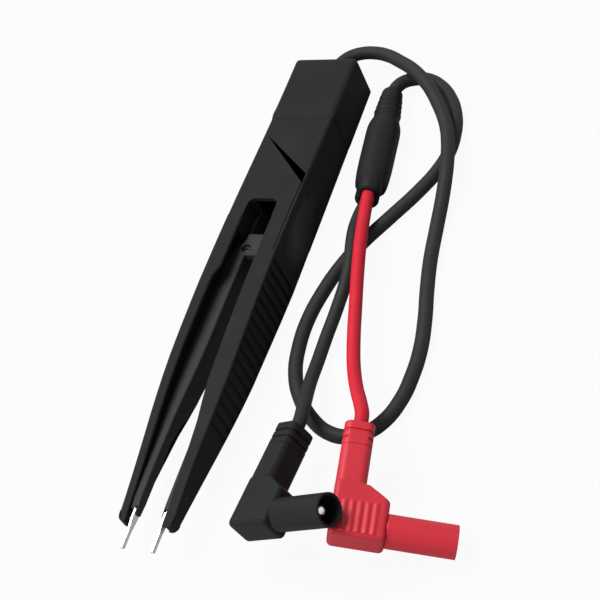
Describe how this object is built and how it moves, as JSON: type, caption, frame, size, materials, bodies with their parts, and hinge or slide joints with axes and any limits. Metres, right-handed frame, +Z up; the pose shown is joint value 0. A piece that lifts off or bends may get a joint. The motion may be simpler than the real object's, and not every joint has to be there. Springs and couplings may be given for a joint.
{
  "type": "test tweezers lead",
  "caption": "Sprung black plastic test tweezers with metal contact tips, on a cord that splits into a red and a black lead with shrouded right-angle plugs.",
  "frame": {"origin": "middle of the tweezers in plan, on the surface they lie on", "axes": "+Y towards the rear face where the cord leaves, so the tips point along -Y; +Z up; +X to the side where the cord and the plugs lie"},
  "size_m": [0.1022, 0.1957, 0.0314],
  "materials": {
    "shell": "fine textured moulded plastic, soft sheen",
    "insert": "smooth moulded plastic",
    "black_cord": "soft matt jacket",
    "black_rubber": "matt moulded rubber",
    "black_moulding": "moulded, satin",
    "red_cord": "soft satin jacket",
    "red_moulding": "moulded, satin",
    "red_rubber": "moulded rubber",
    "wire_black": "insulated wire",
    "wire_red": "insulated wire",
    "contact_metal": "nickel-plated, brushed along its length",
    "plug_metal": "nickel-plated brass",
    "screw_steel": "zinc-plated",
    "copper": "bare copper"
  },
  "bodies": {
    "root": {"body_shell": "shell", "rear_cap": "shell", "cord_bush": "black_rubber", "cable_clamp": "insert", "clamp_screws": "screw_steel", "inner_cord": "black_cord", "left_wire": "wire_black", "right_wire": "wire_red", "main_cord": "black_cord", "splitter_boot": "black_rubber", "splitter_body": "black_moulding", "splitter_crimps": "copper", "red_lead": "red_cord", "black_lead": "black_cord", "red_collar": "red_rubber", "red_housing": "red_moulding", "red_sheath": "red_moulding", "red_pin": "plug_metal", "red_pin_spring": "plug_metal", "red_lead_end": "red_cord", "red_core": "copper", "black_collar": "black_rubber", "black_housing": "black_moulding", "black_sheath": "black_moulding", "black_pin": "plug_metal", "black_pin_spring": "plug_metal", "black_lead_end": "black_cord", "black_core": "copper"},
    "left_half": {"left_arm": "shell", "left_insert": "insert", "left_contact": "contact_metal", "left_terminal_screw": "screw_steel", "left_arm_wire": "wire_black"},
    "right_half": {"right_arm": "shell", "right_insert": "insert", "right_contact": "contact_metal", "right_terminal_screw": "screw_steel", "right_arm_wire": "wire_red"}
  },
  "joints": [
    {"name": "left_arm_squeeze", "type": "hinge", "parent": "root", "child": "left_half", "pos_m": [-0.0082, 0.022, 0.0108], "axis": [0, 0, 1], "range_deg": [0, 2.3], "stiffness_Nm_per_rad": 3},
    {"name": "right_arm_squeeze", "type": "hinge", "parent": "root", "child": "right_half", "pos_m": [0.0082, 0.022, 0.0108], "axis": [0, 0, -1], "range_deg": [0, 2.3], "stiffness_Nm_per_rad": 3}
  ]
}
